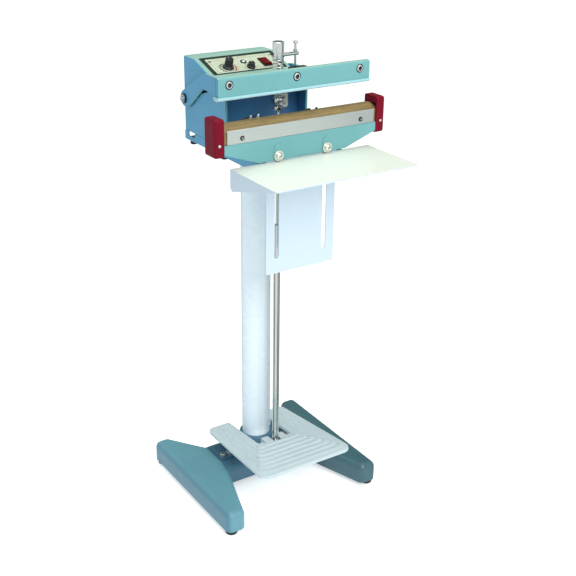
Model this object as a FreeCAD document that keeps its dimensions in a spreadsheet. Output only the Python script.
import FreeCAD, Part
import math
import os
import Sketcher
from FreeCAD import Placement, Rotation, Vector

# Foot-operated impulse heat sealer on a pedestal.
# Frame: +Z up from the floor, +X along the jaws to the operator's right, +Y to the rear
# (the operator stands at -Y). Pieces are laid out from the pole axis; at the end all
# are moved by frame_shift along Y, which centres the envelope on the origin.

doc = FreeCAD.newDocument("ImpulseSealer")
sheet = doc.addObject("Spreadsheet::Sheet", "Params")


# ------------------------------------------------------------- dimensions
class Dim:
    """A length that knows its value and its expression over the sheet."""

    def __init__(self, value, text=None):
        self.value = float(value)
        self.text = text or repr(self.value)

    def _join(self, other, sign, swap=False):
        first, second = self, to_dim(other)
        if swap:
            first, second = second, first
        if sign == "+":
            value = first.value + second.value
        elif sign == "-":
            value = first.value - second.value
        elif sign == "*":
            value = first.value * second.value
        else:
            value = first.value / second.value
        return Dim(value, "(%s %s %s)" % (first.text, sign, second.text))

    def __add__(self, other):
        return self._join(other, "+")

    def __radd__(self, other):
        return self._join(other, "+", True)

    def __sub__(self, other):
        return self._join(other, "-")

    def __rsub__(self, other):
        return self._join(other, "-", True)

    def __mul__(self, other):
        return self._join(other, "*")

    def __rmul__(self, other):
        return self._join(other, "*", True)

    def __truediv__(self, other):
        return self._join(other, "/")

    def __neg__(self):
        return Dim(-self.value, "(-1 * %s)" % self.text)


def to_dim(x):
    return x if isinstance(x, Dim) else Dim(x)


def num(x):
    return to_dim(x).value


def bind(obj, path, x):
    """Binds a property to the sheet if the length comes from there."""
    if isinstance(x, Dim) and "Params." in x.text:
        obj.setExpression(path, x.text)


row = 0


def dim(alias, value, note, formula=None):
    """Writes one row of the sheet: name, value or formula, note."""
    global row
    row += 1
    sheet.set("A%d" % row, alias)
    sheet.set("B%d" % row, formula or repr(float(value)))
    sheet.set("C%d" % row, note)
    sheet.setAlias("B%d" % row, alias)
    return Dim(value, "Params." + alias)


# stand
leg_out = dim("leg_out", 180, "outer edge of each leg from the middle")
leg_front = dim("leg_front", 192, "front tip of the legs ahead of the pole axis")
leg_rear = dim("leg_rear", 130, "rear tip of the legs behind the pole axis")
leg_foot = dim("leg_foot", 10, "underside of the legs above the floor")
leg_top = dim("leg_top", 52, "top of the legs and of the crossbar")
leg_in = dim("leg_in", 98, "joint face between leg and crossbar")
bar_front = dim("bar_front", 50, "crossbar front face ahead of the pole axis")
bar_rear = dim("bar_rear", 55, "crossbar rear face behind the pole axis")
leg_skin = dim("leg_skin", 4, "wall of the cast legs")
pole_od = dim("pole_od", 59.1, "pole outside diameter")
pole_wall = dim("pole_wall", 2.5, "pole wall")
pole_low = dim("pole_low", 58, "lower end of the pole inside its socket")
pole_high = dim("pole_high", 711, "upper end of the pole")
socket_top = dim("socket_top", 91, "top of the pole socket")
socket_od = dim("socket_od", 70, "socket outside diameter")
# pedal
hinge_y = dim("hinge_y", 36, "pedal pivot behind the pole axis")
hinge_z = dim("hinge_z", 84, "pedal pivot height")
pedal_tilt = dim("pedal_tilt", 5, "nose-up angle of the pedal at rest, degrees")
pedal_half = dim("pedal_half", 105.7, "half width of the pedal at the front")
tail_half = dim("tail_half", 94, "half width of the pedal at the rear")
pedal_reach = dim("pedal_reach", 240.2, "pedal front edge ahead of its pivot")
pedal_tail = dim("pedal_tail", 8, "pedal rear edge behind its pivot")
rib_top = dim("rib_top", 15.1, "rib crests above the pivot")
gap_half = dim("gap_half", 40, "half width of the opening around the pole")
gap_front = dim("gap_front", 112, "front of that opening ahead of the pivot")
eye_y = dim("eye_y", 114.3, "rod pin ahead of the pedal pivot, along the pedal")
eye_z = dim("eye_z", 10.07, "rod pin above the pedal pivot, square to the pedal")
# pull rod
rod_y = dim("rod_y", 77, "pull rod axis ahead of the pole axis")
rod_d = dim("rod_d", 14, "lower rod diameter")
rod_thin = dim("rod_thin", 6, "threaded upper rod diameter")
rod_step = dim("rod_step", 583, "height where the rod steps down")
rod_low = dim("rod_low", 92, "lower end of the rod")
# head
head_half = dim("head_half", 88.75, "half width of the housing")
head_rear = dim("head_rear", 117, "rear of the housing")
head_front = dim("head_front", 41, "front edges of the housing walls")
head_low = dim("head_low", 734, "bottom of the housing")
head_top = dim("head_top", 876.6, "flat top of the housing")
slope_y = dim("slope_y", 78, "where the top starts to slope")
slope_fall = dim("slope_fall", 0.3327, "fall of the sloped top per unit length")
head_skin = dim("head_skin", 1.5, "housing sheet thickness")
frame_low = dim("frame_low", 716, "underside of the head frame")
frame_t = dim("frame_t", 3, "head frame plate thickness")
pivot_y = dim("pivot_y", 103, "arm pivot behind the pole axis")
pivot_z = dim("pivot_z", 798, "arm pivot height")
shaft_d = dim("shaft_d", 12, "arm shaft diameter")
arm_in = dim("arm_in", 90.4, "inner face of each side arm")
arm_t = dim("arm_t", 5, "side arm thickness")
# lower jaw
face_y = dim("face_y", 160.3, "front face of the lower jaw bracket")
bracket_t = dim("bracket_t", 3, "jaw bracket thickness")
bracket_low = dim("bracket_low", 738, "bottom of the jaw bracket")
bracket_half = dim("bracket_half", 92, "half width of the bracket at the bottom")
jaw_half = dim("jaw_half", 159.8, "half length between the end caps")
strip_low = dim("strip_low", 778.2, "bottom of the clamp strip")
strip_high = dim("strip_high", 802.7, "top of the clamp strip")
strip_half = dim("strip_half", 154, "half length of the clamp strip")
crest_z = dim("crest_z", 811.2, "top of the sealing face")
cap_end = dim("cap_end", 178.75, "outer face of the end caps")
cap_low = dim("cap_low", 757.5, "bottom of the end caps")
cap_high = dim("cap_high", 824, "top of the end caps")
bolt_x = dim("bolt_x", 51.6, "jaw clamp bolts from the middle")
bolt_z = dim("bolt_z", 745.6, "height of the jaw clamp bolts")
# upper jaw
upper_face = dim("upper_face", 138.3, "front face of the upper jaw")
upper_deep = dim("upper_deep", 14, "depth of the upper jaw")
upper_half = dim("upper_half", 157.6, "half length of the upper jaw")
upper_low = dim("upper_low", 854.7, "bottom of the upper jaw channel")
upper_high = dim("upper_high", 887.6, "top of the upper jaw channel")
screw_x = dim("screw_x", 135.8, "outer jaw screws from the middle")
screw_z = dim("screw_z", 874.3, "height of the jaw screws")
# work table
table_half = dim("table_half", 147.2, "half width of the work table")
table_front = dim("table_front", 303.3, "front edge of the work table")
table_top = dim("table_top", 735.3, "top of the work table")
table_t = dim("table_t", 2, "work table sheet")
plate_half = dim("plate_half", 74.6, "half width of the slotted plate")
plate_low = dim("plate_low", 521.6, "bottom of the slotted plate")
slot_low = dim("slot_low", 554.5, "lower slot centre")
slot_high = dim("slot_high", 768.5, "upper slot centre")
slot_w = dim("slot_w", 9, "slot width")
# The envelope runs from the table's front edge to the rear tips of the legs.
frame_shift = dim("frame_shift", (num(table_front) - num(leg_rear)) / 2,
                  "pole axis behind the origin", "=(table_front - leg_rear) / 2")
doc.recompute()

# ----------------------------------------------------------- pieces and sketches
NODES = []
SIDES = (-1, 1)


def fail(text):
    raise RuntimeError(text)


def new_body(label):
    body = doc.addObject("PartDesign::Body", "Body")
    body.Label = label
    body.AllowCompound = True
    NODES.append(body)
    return body


def piece(build):
    """Decorator: builds a body that is labelled with the function's name."""
    build(new_body(build.__name__))
    return build


def new_sketch(body, plane, offset, draw):
    """Sketch on an origin plane, moved to world coordinate offset on its axis."""
    support = [f for f in body.Origin.OriginFeatures if f.Role == plane + "_Plane"][0]
    sketch = body.newObject("Sketcher::SketchObject", "Sketch")
    sketch.AttachmentSupport = [(support, "")]
    sketch.MapMode = "FlatFace"
    if plane == "XZ":  # its normal points to -Y
        offset = -offset
    sketch.AttachmentOffset = Placement(Vector(0, 0, num(offset)), Rotation())
    bind(sketch, "AttachmentOffset.Base.z", offset)
    draw(sketch)
    sketch.Visibility = False
    return sketch


def fix(sketch, geo, pos, x, y):
    """Holds a point by its two coordinates."""
    for kind, axis, value in (("DistanceX", -2, x), ("DistanceY", -1, y)):
        driven = isinstance(value, Dim) and "Params." in value.text
        if abs(num(value)) < 1e-9 and not driven:
            sketch.addConstraint(Sketcher.Constraint("PointOnObject", geo, pos, axis))
        else:
            constraint = Sketcher.Constraint(kind, -1, 1, geo, pos, num(value))
            index = sketch.addConstraint(constraint)
            bind(sketch, "Constraints[%d]" % index, value)


def fix_radius(sketch, geo, radius):
    index = sketch.addConstraint(Sketcher.Constraint("Radius", geo, num(radius)))
    bind(sketch, "Constraints[%d]" % index, radius)


def poly(*points):
    """Closed outline through the points."""
    def draw(sketch):
        count = len(points)
        first = sketch.GeometryCount
        flat = [Vector(num(x), num(y), 0) for x, y in points]
        for i in range(count):
            sketch.addGeometry(Part.LineSegment(flat[i], flat[(i + 1) % count]), False)
        for i in range(count):
            sketch.addConstraint(Sketcher.Constraint(
                "Coincident", first + i, 2, first + (i + 1) % count, 1))
        for i in range(count):
            fix(sketch, first + i, 1, *points[i])
    return draw


def rect(x0, y0, x1, y1):
    return poly((x0, y0), (x1, y0), (x1, y1), (x0, y1))


def block(x, y, half_x, half_y):
    """Rectangle about a centre."""
    return rect(x - half_x, y - half_y, x + half_x, y + half_y)


def circ(x, y, radius):
    def draw(sketch):
        circle = Part.Circle(Vector(num(x), num(y), 0), Vector(0, 0, 1), num(radius))
        geo = sketch.addGeometry(circle, False)
        fix_radius(sketch, geo, radius)
        fix(sketch, geo, 3, x, y)
    return draw


def slot(x, low, high, radius):
    """Slot along the sketch's vertical, with round ends centred at low and high."""
    def draw(sketch):
        mx, bottom, top, r = num(x), num(low), num(high), num(radius)

        def arc(y, start):
            circle = Part.Circle(Vector(mx, y, 0), Vector(0, 0, 1), r)
            return sketch.addGeometry(Part.ArcOfCircle(circle, start, start + math.pi), False)

        def line(lx, y0, y1):
            return sketch.addGeometry(Part.LineSegment(Vector(lx, y0, 0), Vector(lx, y1, 0)), False)

        ring_of = [arc(top, 0), line(mx - r, top, bottom),
                   arc(bottom, math.pi), line(mx + r, bottom, top)]
        for i in range(4):
            sketch.addConstraint(Sketcher.Constraint(
                "Tangent", ring_of[i], 2, ring_of[(i + 1) % 4], 1))
        fix(sketch, ring_of[0], 3, x, high)
        fix(sketch, ring_of[2], 3, x, low)
        fix_radius(sketch, ring_of[0], radius)
    return draw


def hexa(x, y, flats):
    """Hexagon, flats is its width across flats."""
    r = flats / math.sqrt(3)
    angles = [math.radians(60 * k) for k in range(6)]
    return poly(*[(x + r * math.cos(a), y + r * math.sin(a)) for a in angles])


def many(*draws):
    def draw(sketch):
        for one in draws:
            one(sketch)
    return draw


def each(points, shape, *sizes):
    """The same shape at every point."""
    return many(*[shape(x, y, *sizes) for x, y in points])


def ring(x, y, outer, inner):
    return many(circ(x, y, outer), circ(x, y, inner))


def span(side, inner, outer):
    """Low and high x of a layer between two distances from the middle, on one side."""
    return (inner, outer) if side > 0 else (-outer, -inner)


# ----------------------------------------------------------- features
def volume(body):
    doc.recompute()
    return body.Shape.Volume if body.Tip and not body.Shape.isNull() else 0.0


def extrude(body, kind, plane, low, high, draw):
    adds = kind == "Pad"
    before = volume(body)
    start = low if adds == (plane != "XZ") else high
    sketch = new_sketch(body, plane, start, draw)
    feature = body.newObject("PartDesign::" + kind, kind)
    feature.Profile = sketch
    length = to_dim(high) - low
    feature.Length = length.value
    bind(feature, "Length", length)
    doc.recompute()
    change = body.Shape.Volume - before
    if (change if adds else -change) <= 1e-6:
        fail("%s: %s has no effect" % (body.Label, kind))


def pad(body, plane, low, high, draw):
    """Adds material between two world coordinates along the plane's axis."""
    extrude(body, "Pad", plane, low, high, draw)


def cut(body, plane, low, high, draw):
    """Removes material between two world coordinates along the plane's axis."""
    extrude(body, "Pocket", plane, low, high, draw)


def spin(body, *points):
    """Turns an outline of (radius, z) points about the Z axis."""
    before = volume(body)
    sketch = new_sketch(body, "XZ", 0, poly(*points))
    turn = body.newObject("PartDesign::Revolution", "Turn")
    turn.Profile = sketch
    turn.ReferenceAxis = (sketch, ["V_Axis"])
    turn.Angle = 360
    doc.recompute()
    if body.Shape.Volume <= before + 1e-6:
        fail(body.Label + ": turned feature has no effect")


def mid(edge):
    return edge.valueAt((edge.FirstParameter + edge.LastParameter) / 2)


def along(edge, axis):
    """True for a straight edge parallel to the axis named x, y or z."""
    if edge.Curve.TypeId != "Part::GeomLine":
        return False
    direction = edge.Vertexes[1].Point - edge.Vertexes[0].Point
    direction.normalize()
    return abs(abs(getattr(direction, axis)) - 1) < 1e-6


def near(a, b, tol=0.3):
    return abs(num(a) - num(b)) < tol


def at(axis, value):
    """Picks edges whose midpoint has this coordinate."""
    return lambda edge: near(getattr(mid(edge), axis), value, 0.01)


def parallel(axis):
    return lambda edge: along(edge, axis)


def is_circle(edge):
    return edge.Curve.TypeId == "Part::GeomCircle"


def dress(body, kind, prop, size, pick):
    doc.recompute()
    base = body.Tip
    names = ["Edge%d" % (i + 1) for i, edge in enumerate(base.Shape.Edges) if pick(edge)]
    if not names:
        fail(body.Label + ": no edge picked")
    before = base.Shape.Volume
    feature = body.newObject("PartDesign::" + kind, kind)
    feature.Base = (base, names)
    setattr(feature, prop, size)
    doc.recompute()
    if ("Invalid" in feature.State or feature.Shape.isNull() or not feature.Shape.isValid()
            or abs(feature.Shape.Volume - before) < 1e-9):
        fail("%s: %s of %g failed on %s" % (body.Label, kind, size, names))


def fillet(body, radius, pick):
    dress(body, "Fillet", "Radius", radius, pick)


def chamfer(body, size, pick):
    dress(body, "Chamfer", "Size", size, pick)


def spring(label, low, high, coil_r, wire_r, turns, x, y):
    """Upright coil spring, swept from a round wire along a helix."""
    feature = doc.addObject("Part::Feature", "Spring")
    feature.Label = label
    height = high - low - 2 * wire_r
    helix = Part.makeHelix(height / turns, height, coil_r)
    wire = Part.Wire([Part.makeCircle(wire_r, Vector(coil_r, 0, 0), Vector(0, 1, 0))])
    shape = Part.Wire(helix).makePipeShell([wire], True, True)
    shape.translate(Vector(x, y, low + wire_r))
    feature.Shape = shape
    return feature


# ================================================================= stand
def leg(body, side):
    """Tapered cast shell, joined to one end of the crossbar."""
    outer = [(leg_out, -leg_front), (leg_out, leg_rear), (leg_out - 32, leg_rear),
             (leg_in, bar_rear + 4), (leg_in, -bar_front - 6), (leg_out - 38, -leg_front)]
    hollow_front, hollow_rear = -leg_front + 58, leg_rear - 58
    hollow = [(leg_out - leg_skin, hollow_front), (leg_out - leg_skin, hollow_rear),
              (leg_out - 30, hollow_rear), (leg_in + leg_skin, bar_rear - 14),
              (leg_in + leg_skin, -bar_front + 8), (leg_out - 30, hollow_front)]

    def top_rim(edge):
        joint = along(edge, "y") and near(abs(mid(edge).x), leg_in)
        return near(mid(edge).z, leg_top) and not joint

    pad(body, "XY", leg_foot, leg_top, poly(*[(side * x, y) for x, y in outer]))
    fillet(body, 13, lambda edge: along(edge, "z") and abs(mid(edge).x) > 130)
    fillet(body, 13, top_rim)
    cut(body, "XY", leg_foot, leg_top - 9, poly(*[(side * x, y) for x, y in hollow]))


leg(new_body("leg_left"), -1)
leg(new_body("leg_right"), 1)


@piece
def crossbar(body):
    """Hollow bridge between the legs, open below."""
    low = leg_foot + 4
    pad(body, "XY", low, leg_top, rect(-leg_in, -bar_front, leg_in, bar_rear))
    fillet(body, 13, lambda edge: along(edge, "x") and near(mid(edge).z, leg_top))
    cut(body, "XY", low, leg_top - 9,
        rect(-leg_in + 5, -bar_front + leg_skin, leg_in - 5, bar_rear - leg_skin))


@piece
def foot_pads(body):
    """Rubber feet, one under each leg tip."""
    x, front, rear = leg_out - 15, -(leg_front - 15), leg_rear - 15
    pad(body, "XY", 0, leg_foot, each([(-x, front), (x, front), (-x, rear), (x, rear)], circ, 12))
    chamfer(body, 2, at("z", 0))


flange_top = leg_top + 6


@piece
def pole_socket(body):
    """Flange with a collar that the pole drops into, and a disc under the pole."""
    bore, collar = pole_od / 2 + 0.05, socket_od / 2
    spin(body, (bore, leg_top), (56, leg_top), (56, flange_top), (collar, flange_top),
         (collar, socket_top), (bore, socket_top))
    floor_r = pole_od / 2 + 1
    spin(body, (0, leg_top), (floor_r, leg_top), (floor_r, pole_low), (0, pole_low))
    fillet(body, 2.5, lambda edge: near(mid(edge).z, socket_top, 0.05) and edge.Length > 200
           and is_circle(edge) and edge.Curve.Radius > num(pole_od) / 2 + 2)
    fillet(body, 3, lambda edge: near(mid(edge).z, flange_top, 0.05)
           and is_circle(edge) and near(edge.Curve.Radius, collar, 0.1))


@piece
def pole(body):
    pad(body, "XY", pole_low, pole_high, ring(0, 0, pole_od / 2, pole_od / 2 - pole_wall))


@piece
def base_bolts(body):
    """Socket-head screws: four on the socket flange, two in each pedal bracket."""
    angles = [math.radians(a) for a in (30, 150, 210, 330)]
    flange_at = [(46 * math.cos(a), 46 * math.sin(a)) for a in angles]
    bracket_at = [(-86, -6), (-71, -6), (71, -6), (86, -6)]
    flange_head, bracket_head = leg_top + 13, leg_top + 10.5
    pad(body, "XY", flange_top, flange_head, each(flange_at, circ, 6.5))
    pad(body, "XY", leg_top + 3.5, bracket_head, each(bracket_at, circ, 6))
    fillet(body, 1, lambda edge: at("z", flange_head)(edge) or at("z", bracket_head)(edge))
    cut(body, "XY", flange_head - 4, flange_head, each(flange_at, hexa, 6))
    cut(body, "XY", bracket_head - 4, bracket_head, each(bracket_at, hexa, 5))


@piece
def hinge_brackets(body):
    """Foot plates on the crossbar with upright ears for the pins."""
    ear = [(hinge_y - 24, leg_top + 2), (hinge_y + 5.9, leg_top + 2),
           (hinge_y + 6.3, hinge_z - 1), (hinge_y + 5.9, hinge_z + 3),
           (hinge_y + 3, hinge_z + 6), (hinge_y - 3, hinge_z + 6), (hinge_y - 6, hinge_z + 3)]
    for side in SIDES:
        pad(body, "XY", leg_top, leg_top + 3.5, rect(side * 62, -16, side * 94, hinge_y + 6))
        pad(body, "YZ", *span(side, 62, 66), poly(*ear))
    cut(body, "YZ", -100, 100, circ(hinge_y, hinge_z, 4))


@piece
def pedal_hinge_pins(body):
    """Pins headed at the inside."""
    for side in SIDES:
        pad(body, "YZ", *span(side, 59, 78), circ(hinge_y, hinge_z, 4))
        pad(body, "YZ", *span(side, 58, 61.9), circ(hinge_y, hinge_z, 7))


# ================================================================= pedal
# Modelled flat with its pivot at the origin, then tilted nose up.
tilt = Rotation(Vector(1, 0, 0), -num(pedal_tilt))
hinge_at = Vector(0, num(hinge_y), num(hinge_z))

RIB_FIRST = 4.5     # outermost rib inside the pedal edge
RIB_PITCH = 9.6
RIB_W = 4.2
RIB_MARGIN = 1.5
RIB_TAPER = 0.83    # share of the inset that applies at the rear


def tread_ribs(body):
    low, rear = rib_top - 1.6, pedal_tail - 5
    # Six nested U shapes, open to the rear.
    for k in range(6):
        inset = RIB_FIRST + RIB_PITCH * k
        x_front = pedal_half - inset - RIB_MARGIN
        x_rear = tail_half - inset * RIB_TAPER - RIB_MARGIN
        front = -(pedal_reach - inset - RIB_MARGIN)
        pad(body, "XY", low, rib_top, poly(
            (-x_front, front), (x_front, front), (x_rear, rear), (x_rear - RIB_W, rear),
            (x_front - RIB_W, front + RIB_W), (-x_front + RIB_W, front + RIB_W),
            (-x_rear + RIB_W, rear), (-x_rear, rear)))
    # Four straight ribs inside them.
    for k in range(6, 10):
        inset = RIB_FIRST + RIB_PITCH * k
        half = pedal_half - inset - RIB_MARGIN
        front = -(pedal_reach - inset - RIB_MARGIN)
        pad(body, "XY", low, rib_top, rect(-half, front, half, front + RIB_W))


@piece
def pedal_plate(body):
    pad(body, "XY", rib_top - 8, rib_top - 1.5, poly(
        (-pedal_half, -pedal_reach), (pedal_half, -pedal_reach), (tail_half, pedal_tail),
        (gap_half, pedal_tail), (gap_half, -gap_front), (-gap_half, -gap_front),
        (-gap_half, pedal_tail), (-tail_half, pedal_tail)))

    def corner(y, keep=lambda x: True):
        return lambda edge: (along(edge, "z") and near(mid(edge).y, y)
                             and keep(abs(mid(edge).x)))

    fillet(body, 20, corner(-pedal_reach))
    fillet(body, 14, corner(pedal_tail, lambda x: x > 60))
    fillet(body, 5, corner(pedal_tail, lambda x: x < 60))
    fillet(body, 7, corner(-gap_front))
    # lugs on both sides of the rod
    lug_in, lug_out = 8.5, 26
    lug_front, lug_rear = -gap_front - 12, -gap_front + 14
    pad(body, "XY", 2, rib_top, many(rect(-lug_out, lug_front, -lug_in, lug_rear),
                                     rect(lug_in, lug_front, lug_out, lug_rear)))
    cut(body, "XY", 0, rib_top, rect(-lug_in, -gap_front - 14, lug_in, -gap_front + 15))
    tread_ribs(body)
    # hinge lugs under the side arms
    for side in SIDES:
        pad(body, "YZ", *span(side, 66.3, 72), poly(
            (-20, rib_top - 7), (7.5, rib_top - 7), (7.5, -3), (4, -7.5), (-4, -7.5), (-7.5, -3)))
    cut(body, "YZ", -80, 80, circ(0, 0, 4.05))
    cut(body, "YZ", -30, 30, circ(-eye_y, eye_z, 3.5))
    body.Placement = Placement(hinge_at, tilt)


@piece
def rod_pin(body):
    """Pin through the pedal lugs and the eye of the rod."""
    pad(body, "YZ", -28, 28, circ(-eye_y, eye_z, 3.5))
    body.Placement = Placement(hinge_at, tilt)


# ============================================================== pull rod
# Levels shared by the rod's upper end, the arm's cross plate and the switch.
CROSS_LOW, CROSS_HIGH = 849, 853    # cross plate of the arm
COLLAR_LOW = 896.1                  # underside of the actuator collar
SWITCH_X = 36                       # switch screw and plunger axis


@piece
def pull_rod(body):
    eye = hinge_at + tilt.multVec(Vector(0, -num(eye_y), num(eye_z)))
    pad(body, "XY", rod_low, rod_step, circ(0, -rod_y, rod_d / 2))
    pad(body, "XY", rod_step, 920, circ(0, -rod_y, rod_thin / 2))
    chamfer(body, 1.5, lambda edge: at("z", rod_step)(edge) and edge.Curve.Radius > 5)
    fillet(body, 3, at("z", rod_low))
    cut(body, "YZ", -10, 10, circ(eye.y, eye.z, 3.55))


@piece
def rod_nuts(body):
    """Two hexagon nuts on the threaded end, below the cross plate."""
    for low, high in ((817.5, 825), (803, 809.5)):
        pad(body, "XY", low, high, many(hexa(0, -rod_y, 17), circ(0, -rod_y, 3)))


@piece
def actuator_bar(body):
    """Collar with a side bar that carries the switch screw."""
    bar_end = 42.5
    pad(body, "XY", COLLAR_LOW, 905.4, ring(0, -rod_y, 8.5, rod_thin / 2))
    pad(body, "XY", COLLAR_LOW, 898.2, ring(0, -rod_y, 10.8, rod_thin / 2))
    pad(body, "YZ", 6.5, bar_end, circ(-rod_y, 900.8, 3.4))
    fillet(body, 1, at("x", bar_end))
    cut(body, "XY", 895, 907, circ(SWITCH_X, -rod_y, 2))


@piece
def actuator_screw(body):
    """Screw that presses the switch, with its head and lock nut."""
    head_end = 922.6
    pad(body, "XY", 880.4, 921, circ(SWITCH_X, -rod_y, 2))
    pad(body, "XY", 919, head_end, circ(SWITCH_X, -rod_y, 4.2))
    pad(body, "XY", 904.3, 907.5, hexa(SWITCH_X, -rod_y, 7))
    fillet(body, 0.8, at("z", head_end))


@piece
def rod_sleeve(body):
    """Tall round nut at the top of the rod."""
    low, high = 905.5, 925
    pad(body, "XY", low, high, circ(0, -rod_y, 10.4))
    chamfer(body, 1, lambda edge: at("z", high)(edge) or at("z", low)(edge))
    cut(body, "XY", 905, 920.3, circ(0, -rod_y, rod_thin / 2))
    cut(body, "XY", 921, 925.5, circ(0, -rod_y, 5.2))


# Springs on the rod, above and below the cross plate.
NODES.append(spring("pressure_spring", CROSS_HIGH + 0.1, COLLAR_LOW - 0.1,
                    coil_r=9.1, wire_r=1.3, turns=7.5, x=0, y=-num(rod_y)))
NODES.append(spring("lower_spring", 825.1, CROSS_LOW - 0.1,
                    coil_r=6.6, wire_r=1.1, turns=4.5, x=0, y=-num(rod_y)))

# ============================================================ head frame
frame_top = frame_low + frame_t


@piece
def pole_flange(body):
    """Plate on the pole, with a short tube that fits inside it."""
    tube_r = pole_od / 2 - pole_wall
    pad(body, "XY", pole_high, frame_low, block(0, 0, 48, 48))
    fillet(body, 10, parallel("z"))
    pad(body, "XY", pole_high - 24, pole_high + 1, ring(0, 0, tube_r - 0.05, tube_r - 4))


@piece
def base_frame(body):
    """Folded tray that everything in the head is bolted to."""
    front, post_top = -(face_y - 5.8), 761.8
    pad(body, "XY", frame_low, frame_top, rect(-head_half, front, head_half, 60))
    pad(body, "XY", frame_low, frame_low + 17.5, many(
        rect(-head_half, front, -head_half + frame_t, head_rear),
        rect(head_half - frame_t, front, head_half, head_rear)))
    pad(body, "XY", frame_low, frame_top, many(
        rect(-head_half, 59, -head_half + 22, head_rear),
        rect(head_half - 22, 59, head_half, head_rear)))
    pad(body, "XZ", front, -(face_y - 8.8), rect(-head_half, frame_low, head_half, post_top))
    cut(body, "XY", frame_low, frame_top, block(0, -rod_y, 14, 22))
    # two posts carry the lower jaw bar
    for side in SIDES:
        pad(body, "YZ", *span(side, 62, 82), rect(-(face_y - 8), frame_top - 0.5, -130, post_top))
    cut(body, "YZ", -100, 100, rect(78, frame_low + 8, 104, frame_low + 18))
    cut(body, "XZ", -(face_y - 5), -(face_y - 9.5),
        each([(-bolt_x, bolt_z), (bolt_x, bolt_z)], circ, 4.05))


@piece
def flange_bolts(body):
    """Hexagons below the pole flange and above the frame plate."""
    corners = [(-36, -36), (36, -36), (-36, 36), (36, 36)]
    pad(body, "XY", pole_high - 5.5, pole_high, each(corners, hexa, 13))
    pad(body, "XY", frame_top, frame_top + 6.5, each(corners, hexa, 13))


# ============================================================ housing and panel
PANEL_Y = 49.5              # centre of the control panel
# Places of the controls in the plane of the slope, from the panel's centre.
TIMER_AT = (-39.5, -17.4)
HEAT_AT = (5.5, -25.0)
LAMP_AT = (0.8, -3.7)
ROCKER_AT = (43.0, -13.5)
SLOPE_COS = 0.949           # length seen from above per length on the slope
INLET_Z = 759               # centre of the mains inlet
RETURN_X, RETURN_Y = 81, 66  # axes of the return springs


def top_at(y, drop=0.0):
    """Height of the sloped top at y, less a drop."""
    return head_top - (slope_y - y) * slope_fall - drop


@piece
def housing(body):
    """Folded sheet cover, open at the front and below."""
    def rounded(edge):
        point = mid(edge)
        at_rear = near(point.y, head_rear)
        side_rim = (near(abs(point.x), head_half, 0.01) and point.z > num(head_top) - 45
                    and -num(head_front) + 1 < point.y < num(head_rear) - 1)
        return ((at_rear and along(edge, "z")) or side_rim
                or (along(edge, "x") and near(point.z, head_top) and at_rear))

    pad(body, "YZ", -head_half, head_half, poly(
        (head_rear, head_low), (head_rear, head_top), (slope_y, head_top),
        (-head_front, top_at(-head_front)), (-head_front, head_low)))
    fillet(body, 4, rounded)
    # hollow; 1.054 is the sheet's upright thickness on the slope per unit
    beyond = -head_front - 1
    cut(body, "YZ", -head_half + head_skin, head_half - head_skin, poly(
        (head_rear - head_skin, head_low - 1), (head_rear - head_skin, head_top - head_skin),
        (slope_y - 0.25, head_top - head_skin),
        (beyond, top_at(beyond) - head_skin * 1.054), (beyond, head_low - 1)))
    # shaft holes, side slots for the spring pins, inlet and vents in the back
    cut(body, "YZ", -100, 100, circ(pivot_y, pivot_z, shaft_d / 2))
    cut(body, "YZ", -100, 100, poly((90, 783.5), (82, 789.2), (47.3, 816.7), (24, 824.2),
                                    (22, 833), (46, 838), (94, 800), (96, 788)))
    vents = [rect(-60 + 12 * k, 838, -54 + 12 * k, 862) for k in range(11)]
    cut(body, "XZ", head_rear - 3, head_rear + 1, many(block(0, INLET_Z, 14, 11), *vents))
    # lips inside the front edges of the walls
    lip_rear = -head_front + 1.5
    for side in SIDES:
        pad(body, "YZ", *span(side, 84.75, 88.0), poly(
            (-head_front, head_low), (lip_rear, head_low),
            (lip_rear, top_at(lip_rear, 1.0)), (-head_front, top_at(-head_front, 1.0))))
    # lugs under the slope that hold the upper ends of the return springs
    lug_front, lug_rear, lug_low = RETURN_Y - 4, RETURN_Y + 4, 857.5
    for side in SIDES:
        pad(body, "YZ", *span(side, RETURN_X - 4, RETURN_X + 4), poly(
            (lug_front, lug_low), (lug_rear, lug_low),
            (lug_rear, top_at(lug_rear, 1.0)), (lug_front, top_at(lug_front, 1.0))))
    # opening under the rocker switch
    cut(body, "XY", 840, 880, block(ROCKER_AT[0], PANEL_Y + ROCKER_AT[1] * SLOPE_COS,
                                    8.2, 13.5 * SLOPE_COS))


@piece
def housing_bolts(body):
    """Round heads under the frame."""
    low = frame_low - 8
    for x, y in ((-80, -20), (-80, 98), (80, -20), (80, 98)):
        pad(body, "XY", low, frame_low, circ(x, y, 7))
    fillet(body, 2, at("z", low))


@piece
def inner_panel(body):
    """Upright panel behind the open front of the housing, with a foot to the rear."""
    half, low = head_half - 2, head_low + 2
    pad(body, "XZ", -12, -10.5, rect(-half, low, half, 844.6))
    pad(body, "XY", low, low + 1.5, rect(-half, -11, half, 6))


slope_rot = Rotation(Vector(1, 0, 0), math.degrees(math.atan(num(slope_fall))))


def on_panel(body, x=0, y=0):
    """Lays a body modelled flat onto the slope, x and y from the panel's centre."""
    centre = Vector(0, PANEL_Y, num(top_at(PANEL_Y)))
    body.Placement = Placement(centre + slope_rot.multVec(Vector(x, y, 0)), slope_rot)


@piece
def panel_frame(body):
    pad(body, "XY", 0.05, 1.8, many(rect(-78.5, -36, 78.5, 25.5), rect(-71, -34.5, 71, 18.5)))
    on_panel(body)


@piece
def panel_face(body):
    pad(body, "XY", 0.05, 1.2, rect(-70.9, -34.4, 70.9, 18.4))
    cut(body, "XY", 0, 1.3, block(*ROCKER_AT, 8.0, 13.0))
    on_panel(body)


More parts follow.
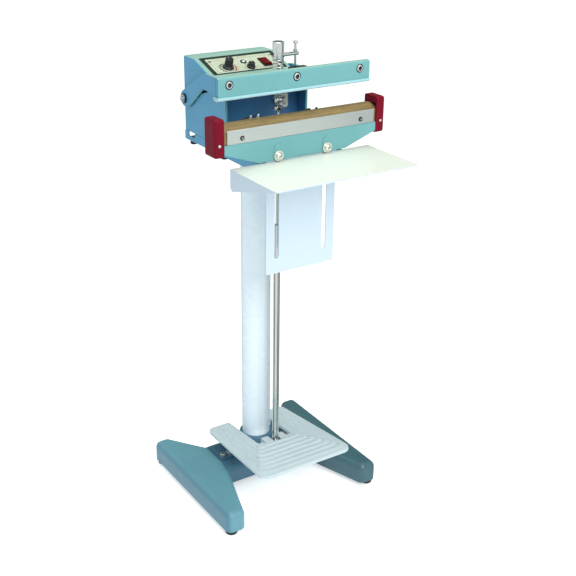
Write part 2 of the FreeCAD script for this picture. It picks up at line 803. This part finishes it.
@piece
def panel_screws(body):
    """Slotted round heads."""
    places, head_end = [(-66.5, 6.5), (66.5, 6.5)], 3.0
    pad(body, "XY", 1.2, head_end, each(places, circ, 3.6))
    fillet(body, 0.9, at("z", head_end))
    cut(body, "XY", 2.0, 3.1, each(places, block, 2.4, 0.45))
    on_panel(body)


def knob(label, place, radius, height, mark_w, skirt):
    """Turned knob with a skirt and a shallow mark across the top."""
    body = new_body(label)
    neck = radius * 0.93
    spin(body, (0, 1.4), (skirt, 1.4), (skirt, 2.6), (skirt - 1.2, 4.0), (radius, 4.6),
         (neck, height - 1), (neck - 1, height), (0, height))
    cut(body, "XY", height - 0.8, height,
        rect(-mark_w / 2, radius * 0.3, mark_w / 2, radius * 1.2))
    on_panel(body, *place)


knob("timer_knob", TIMER_AT, radius=7.9, height=19, mark_w=1.6, skirt=11)
knob("heat_knob", HEAT_AT, radius=6.6, height=10.5, mark_w=1.2, skirt=8)


@piece
def indicator_lamp(body):
    spin(body, (0, 1.25), (5.2, 1.25), (5.2, 3.0), (4.2, 3.8), (3.2, 3.8), (2.6, 4.8), (0, 5.4))
    on_panel(body, *LAMP_AT)


@piece
def rocker_bezel(body):
    pad(body, "XY", 1.25, 3.4, many(block(0, 0, 9.6, 14.5), block(0, 0, 7.6, 12.6)))
    on_panel(body, *ROCKER_AT)


@piece
def power_rocker(body):
    """Bent key inside the bezel."""
    pad(body, "YZ", -7.3, 7.3, poly((-12.1, 3.0), (-12.1, 7.6), (0, 4.6), (12.1, 5.2),
                                    (12.1, 2.6), (6, 1.6), (-6, 1.6)))
    fillet(body, 0.8, lambda edge: along(edge, "x") and mid(edge).z > 4)
    on_panel(body, *ROCKER_AT)


# ============================================================ inside the head
@piece
def transformer_core(body):
    """Block with two windows."""
    pad(body, "XZ", 30, 82, many(rect(-58, head_low + 4, 8, head_low + 62),
                                 rect(-47, head_low + 15, -30.5, head_low + 51),
                                 rect(-19.5, head_low + 15, -3, head_low + 51)))


@piece
def transformer_coil(body):
    pad(body, "XY", head_low + 16, head_low + 50,
        many(rect(-45.5, 19, -4.5, 93), rect(-30.8, 29.6, -19.2, 82.4)))
    fillet(body, 4, lambda edge: along(edge, "z") and not 20 <= mid(edge).y <= 92)


@piece
def timer_board(body):
    """Upright board with two blocks and two cylinders on its right face."""
    pad(body, "YZ", 40, 41.6, rect(8, head_low + 8, 92, head_low + 78))
    pad(body, "YZ", 41.5, 52, many(rect(20, head_low + 20, 44, head_low + 42),
                                   rect(56, head_low + 16, 84, head_low + 36)))
    pad(body, "YZ", 41.5, 60, each([(32, head_low + 60), (50, head_low + 60)], circ, 6))


@piece
def terminal_block(body):
    """Block on the front of the inner panel, with two blind holes."""
    pad(body, "XZ", -30, -12.1, rect(34, 792, 52, 818))
    fillet(body, 4, parallel("y"))
    cut(body, "XZ", -30, -24, each([(43, 811), (43, 799)], circ, 3))


@piece
def mains_inlet(body):
    """Socket in the back of the housing: case, flange, recess and three blades."""
    pad(body, "XZ", head_rear - 20, head_rear - 0.1, block(0, INLET_Z, 13.8, 10.8))
    pad(body, "XZ", head_rear + 0.05, head_rear + 2.2, block(0, INLET_Z, 22, 15))
    pad(body, "XZ", head_rear - 0.3, head_rear + 0.3, block(0, INLET_Z, 13.8, 10.8))
    cut(body, "XZ", head_rear - 14, head_rear + 3, block(0, INLET_Z, 11.5, 8))
    pad(body, "XZ", head_rear - 15, head_rear - 2,
        each([(-6.5, 759.5), (0, 761.5), (6.5, 759.5)], block, 1, 2.5))


STUD_END = 103.6
STUD_R = 3.9


@piece
def arm_shaft(body):
    """Shaft that the arm turns on, with thinner studs at its ends."""
    half = arm_in + arm_t + 0.4
    pad(body, "YZ", -half, half, circ(pivot_y, pivot_z, shaft_d / 2))
    pad(body, "YZ", -STUD_END, STUD_END, circ(pivot_y, pivot_z, STUD_R))
    fillet(body, 0.6, lambda edge: near(abs(mid(edge).x), STUD_END, 0.01))


@piece
def shaft_bolts(body):
    """A washer and a nut on each stud."""
    washer_in, washer_out = 95.85, 97.6
    for side in SIDES:
        pad(body, "YZ", *span(side, washer_in, washer_out), ring(pivot_y, pivot_z, 9.5, STUD_R))
        pad(body, "YZ", *span(side, washer_out - 0.1, washer_out + 5.2),
            many(hexa(pivot_y, pivot_z, 13), circ(pivot_y, pivot_z, STUD_R)))


# ============================================================= lower jaw
jaw_y = -face_y
jaw_bolts_at = [(-bolt_x, bolt_z), (bolt_x, bolt_z)]
STRIP_SCREWS_AT = [(-124.7, 787.5), (124.7, 787.5)]
BAR_END = 172


@piece
def jaw_bracket(body):
    """Front plate of the jaw, with a raised slot-shaped pad around each bolt."""
    half, shoulder, high = jaw_half - 0.3, bracket_low + 24, strip_low - 0.2
    pad(body, "XZ", jaw_y, jaw_y + bracket_t, poly(
        (-bracket_half, bracket_low), (bracket_half, bracket_low), (half, shoulder),
        (half, high), (-half, high), (-half, shoulder)))
    pad(body, "XZ", jaw_y - 1.0, jaw_y + 0.5, many(
        *[slot(x, z, z + 13, 9.2) for x, z in jaw_bolts_at]))
    cut(body, "XZ", jaw_y - 2, jaw_y + bracket_t + 1, each(jaw_bolts_at, circ, 4.05))


@piece
def lower_jaw_bar(body):
    pad(body, "YZ", -BAR_END, BAR_END, poly(
        (jaw_y + 6, 762), (jaw_y + 6, strip_low - 0.2), (jaw_y + 2.6, strip_low - 0.2),
        (jaw_y + 2.6, strip_high - 0.4), (-143, crest_z - 1.1), (-133, crest_z - 1.1),
        (-128.4, crest_z - 6), (-128.4, 762)))


@piece
def ptfe_cover(body):
    """Coated cloth over the bar, held by the clamp strip."""
    outer, inner = jaw_y + 1.9, jaw_y + 2.5
    pad(body, "YZ", -jaw_half + 0.2, jaw_half - 0.2, poly(
        (outer, strip_low + 0.3), (outer, strip_high), (-143.2, crest_z), (-132.7, crest_z),
        (-127.6, crest_z - 5.6), (-127.6, 781), (-128.3, 781), (-128.3, crest_z - 5.9),
        (-133, crest_z - 0.6), (-143, crest_z - 0.6),
        (inner, strip_high - 0.3), (inner, strip_low + 0.3)))


@piece
def heating_element(body):
    pad(body, "YZ", -150, 150, rect(-141, crest_z - 1.05, -137, crest_z - 0.65))


@piece
def clamp_strip(body):
    pad(body, "XZ", jaw_y - 0.5, jaw_y + 1.8, rect(-strip_half, strip_low, strip_half, strip_high))
    chamfer(body, 0.8, lambda edge: along(edge, "x") and mid(edge).y < num(jaw_y) - 0.3)
    cut(body, "XZ", jaw_y - 0.6, jaw_y + 1.9, each(STRIP_SCREWS_AT, circ, 2))


@piece
def strip_screws(body):
    """Slotted screws near the ends of the clamp strip."""
    head = jaw_y - 2.3
    pad(body, "XZ", head, jaw_y - 0.5, each(STRIP_SCREWS_AT, circ, 4.4))
    fillet(body, 1, at("y", head))
    pad(body, "XZ", jaw_y - 0.6, jaw_y + 1.8, each(STRIP_SCREWS_AT, circ, 1.95))
    cut(body, "XZ", jaw_y - 2.4, jaw_y - 1.2, each(STRIP_SCREWS_AT, block, 3.2, 0.5))


def end_cap(body, side):
    """Rounded block with a pocket for the end of the bar."""
    pad(body, "YZ", *span(side, jaw_half, cap_end), rect(jaw_y - 1.2, cap_low, -124, cap_high))
    fillet(body, 4.5, lambda edge: near(abs(mid(edge).x), cap_end) or along(edge, "x"))
    step_z = strip_low - 0.6
    cut(body, "YZ", *span(side, jaw_half, BAR_END + 0.4), poly(
        (jaw_y + 5.6, 761.5), (jaw_y + 5.6, step_z), (jaw_y + 2.2, step_z),
        (jaw_y + 2.2, crest_z + 0.5), (-128, crest_z + 0.5), (-128, 761.5)))


end_cap(new_body("end_cap_left"), -1)
end_cap(new_body("end_cap_right"), 1)


@piece
def cap_screws(body):
    """Round heads on the front of the end caps."""
    head = jaw_y - 2.4
    pad(body, "XZ", head, jaw_y - 1.2, each([(-169.5, 779.5), (169.5, 779.5)], circ, 2.7))
    fillet(body, 0.7, at("y", head))


@piece
def element_terminals(body):
    """Two ceramic terminals behind the bar: cylinder, stem and tab to the bar."""
    y, high = -119, 813.5
    for x in (-83, -69.5):
        pad(body, "XY", 800, high, circ(x, y, 3.4))
        pad(body, "XY", 790, 800.5, circ(x, y, 1.6))
        pad(body, "XY", 790, 793, rect(x - 2.5, -127.2, x + 2.5, -117.5))
    fillet(body, 1.2, at("z", high))


@piece
def jaw_bolts(body):
    """Washer, domed head, shank and nut; they pinch the slotted plate of the table."""
    head = jaw_y - 8.2
    pad(body, "XZ", jaw_y - 2.8, jaw_y - 1.0, each(jaw_bolts_at, circ, 9.8))
    pad(body, "XZ", head, jaw_y - 2.7, each(jaw_bolts_at, circ, 6.2))
    fillet(body, 2.6, at("y", head))
    pad(body, "XZ", jaw_y - 1.1, jaw_y + 17.0, each(jaw_bolts_at, circ, 4))
    pad(body, "XZ", jaw_y + 8.9, jaw_y + 15.4, each(jaw_bolts_at, hexa, 13))
    cut(body, "XZ", jaw_y - 8.3, jaw_y - 5.2, each(jaw_bolts_at, hexa, 5))


# ============================================================= upper arm
ARM_FRONT = -124.2
ARM_LOW = 829.5
# Outline of a side arm as (y, z): around the pivot, along the top to the front, and back.
arm_outline = [
    (pivot_y + 11, pivot_z - 11), (pivot_y + 15, pivot_z - 3), (pivot_y + 15, pivot_z + 4),
    (pivot_y + 11, pivot_z + 11), (pivot_y + 4, pivot_z + 15),
    (58, 842), (34, 857), (22, 860), (-118, 860), (ARM_FRONT, 860), (ARM_FRONT, CROSS_LOW),
    (-112, 843.5), (-66, ARM_LOW), (33, ARM_LOW), (84, pivot_z - 9.5), (92, pivot_z - 14),
    (pivot_y - 6, pivot_z - 15), (pivot_y + 4, pivot_z - 15)]


@piece
def arm_yoke(body):
    """Side arms joined by a cross plate and two upright plates at the front."""
    for side in SIDES:
        pad(body, "YZ", *span(side, arm_in, arm_in + arm_t), poly(*arm_outline))
    pad(body, "XY", CROSS_LOW, CROSS_HIGH, rect(-arm_in - 1, ARM_FRONT, arm_in + 1, -55))
    pad(body, "XZ", ARM_FRONT, ARM_FRONT + 3, many(rect(-arm_in - 3, CROSS_LOW, -30, 884),
                                                  rect(30, CROSS_LOW, arm_in + 3, 884)))

    def bend(edge):
        point = mid(edge)
        lower = near(point.y, 33, 0.1) and near(point.z, ARM_LOW, 0.1)
        return along(edge, "x") and (near(point.y, 34, 0.1) or lower)

    fillet(body, 14, bend)
    cut(body, "YZ", -100, 100, circ(pivot_y, pivot_z, shaft_d / 2 + 0.05))
    cut(body, "XY", 848, 854, slot(0, -rod_y - 4.5, -rod_y + 2.5, 4.2))
    # pins that reach in through the housing's slots and hold the return springs
    for side in SIDES:
        pad(body, "YZ", *span(side, 78, 90.9), circ(RETURN_Y, 813, 2.5))


returns = doc.addObject("Part::Compound", "ReturnSprings")
returns.Links = [
    spring(label, 816, 857, coil_r=4.2, wire_r=0.8, turns=14, x=side * RETURN_X, y=RETURN_Y)
    for label, side in (("spring_a", -1), ("spring_b", 1))]
returns.Label = "return_springs"
NODES.append(returns)

upper_y, upper_rear = -upper_face, -(upper_face - upper_deep)
upper_screws_at = [(-screw_x, screw_z), (0, screw_z), (screw_x, screw_z)]


@piece
def upper_jaw(body):
    """Inverted channel with round openings for the screws in its front."""
    pad(body, "YZ", -upper_half, upper_half, rect(upper_y, upper_low, upper_rear, upper_high))
    fillet(body, 4.5, lambda edge: along(edge, "x") and at("z", upper_high)(edge))
    cut(body, "YZ", -upper_half - 1, upper_half + 1,
        rect(upper_y + 2.2, upper_low - 1, upper_rear - 2.2, upper_high - 2.2))
    cut(body, "XZ", upper_y - 1, upper_y + 2.5, each(upper_screws_at, circ, 8))


@piece
def press_bar(body):
    """Bar inside the channel."""
    pad(body, "YZ", -upper_half + 1, upper_half - 1,
        rect(upper_y + 2.3, upper_low, upper_rear - 2.3, upper_high - 3))
    cut(body, "XZ", upper_y + 2, upper_y + 8, each(upper_screws_at, circ, 2.5))


@piece
def jaw_screws(body):
    head = upper_y - 1.6
    pad(body, "XZ", head, upper_y + 2.2, each(upper_screws_at, circ, 6.1))
    fillet(body, 0.8, at("y", head))
    pad(body, "XZ", upper_y + 2.1, upper_y + 8, each(upper_screws_at, circ, 2.45))
    cut(body, "XZ", upper_y - 1.7, upper_y + 1.2, each(upper_screws_at, hexa, 5))


pad_half = upper_half + 1.6


@piece
def pad_holder(body):
    """Strip under the upper jaw, grooved below for the silicone."""
    front, low, high = upper_y - 1.4, upper_low - 5, upper_low - 0.1
    groove_front, groove_rear, groove_top = upper_y + 1.6, upper_rear - 3, upper_low - 4
    pad(body, "YZ", -pad_half, pad_half, poly(
        (front, low), (front, high), (upper_rear, high), (upper_rear, low), (groove_rear, low),
        (groove_rear, groove_top), (groove_front, groove_top), (groove_front, low)))
    chamfer(body, 0.7, lambda edge: along(edge, "x") and at("y", front)(edge))


@piece
def silicone_strip(body):
    pad(body, "YZ", -pad_half, pad_half,
        rect(upper_y + 1.65, upper_low - 6.5, upper_rear - 3.05, upper_low - 4.05))


@piece
def micro_switch(body):
    """Switch on the cross plate, under the actuator screw."""
    pad(body, "XY", CROSS_HIGH + 0.1, 876, rect(26, -rod_y - 8.5, 61, -rod_y + 8.5))
    fillet(body, 1.5, parallel("z"))
    cut(body, "XY", 870, 877, circ(SWITCH_X, -rod_y, 2.45))


@piece
def switch_plunger(body):
    pad(body, "XY", 872.2, 878, circ(SWITCH_X, -rod_y, 2.4))


# ============================================================ work table
@piece
def work_table(body):
    """Flat top with side flanges on an upright plate with two long slots."""
    front, rear = jaw_y + 3.1, jaw_y + 5.6
    pad(body, "XZ", front, rear, rect(-plate_half, plate_low, plate_half, 776.4))
    fillet(body, 5, lambda edge: along(edge, "y") and near(mid(edge).z, plate_low))
    pad(body, "XY", table_top - table_t, table_top,
        rect(-table_half, -table_front, table_half, front + 0.5))
    fillet(body, 6, lambda edge: along(edge, "z") and near(mid(edge).y, -table_front))
    tip, root = -table_front + 8, front + 0.4
    for side in SIDES:
        pad(body, "YZ", *span(side, table_half - table_t, table_half), poly(
            (tip, table_top - 0.5), (root, table_top - 0.5), (root, table_top - 34),
            (front - 5, table_top - 39), (tip, table_top - 3.5)))
    cut(body, "XZ", front - 1, rear + 1, many(
        *[slot(x, slot_low, slot_high, slot_w / 2) for x in (-51.5, 51.5)]))


# ------------------------------------------------------------------ frame and export
doc.recompute()
to_origin = Placement(Vector(0, num(frame_shift), 0), Rotation())
for node in NODES:
    node.Placement = to_origin.multiply(node.Placement)
doc.recompute()

bad = []
for obj in doc.Objects:
    if "Invalid" in obj.State or "Error" in obj.State:
        bad.append("%s (%s) state %s" % (obj.Name, obj.Label, obj.State))
for node in NODES:
    if node.Shape.isNull() or not node.Shape.isValid() or not node.Shape.Solids:
        bad.append(node.Label + " has no valid solid")
if bad:
    fail("; ".join(bad))

os.makedirs("parts", exist_ok=True)
for node in NODES:
    node.Shape.exportStep("parts/%s.step" % node.Label)
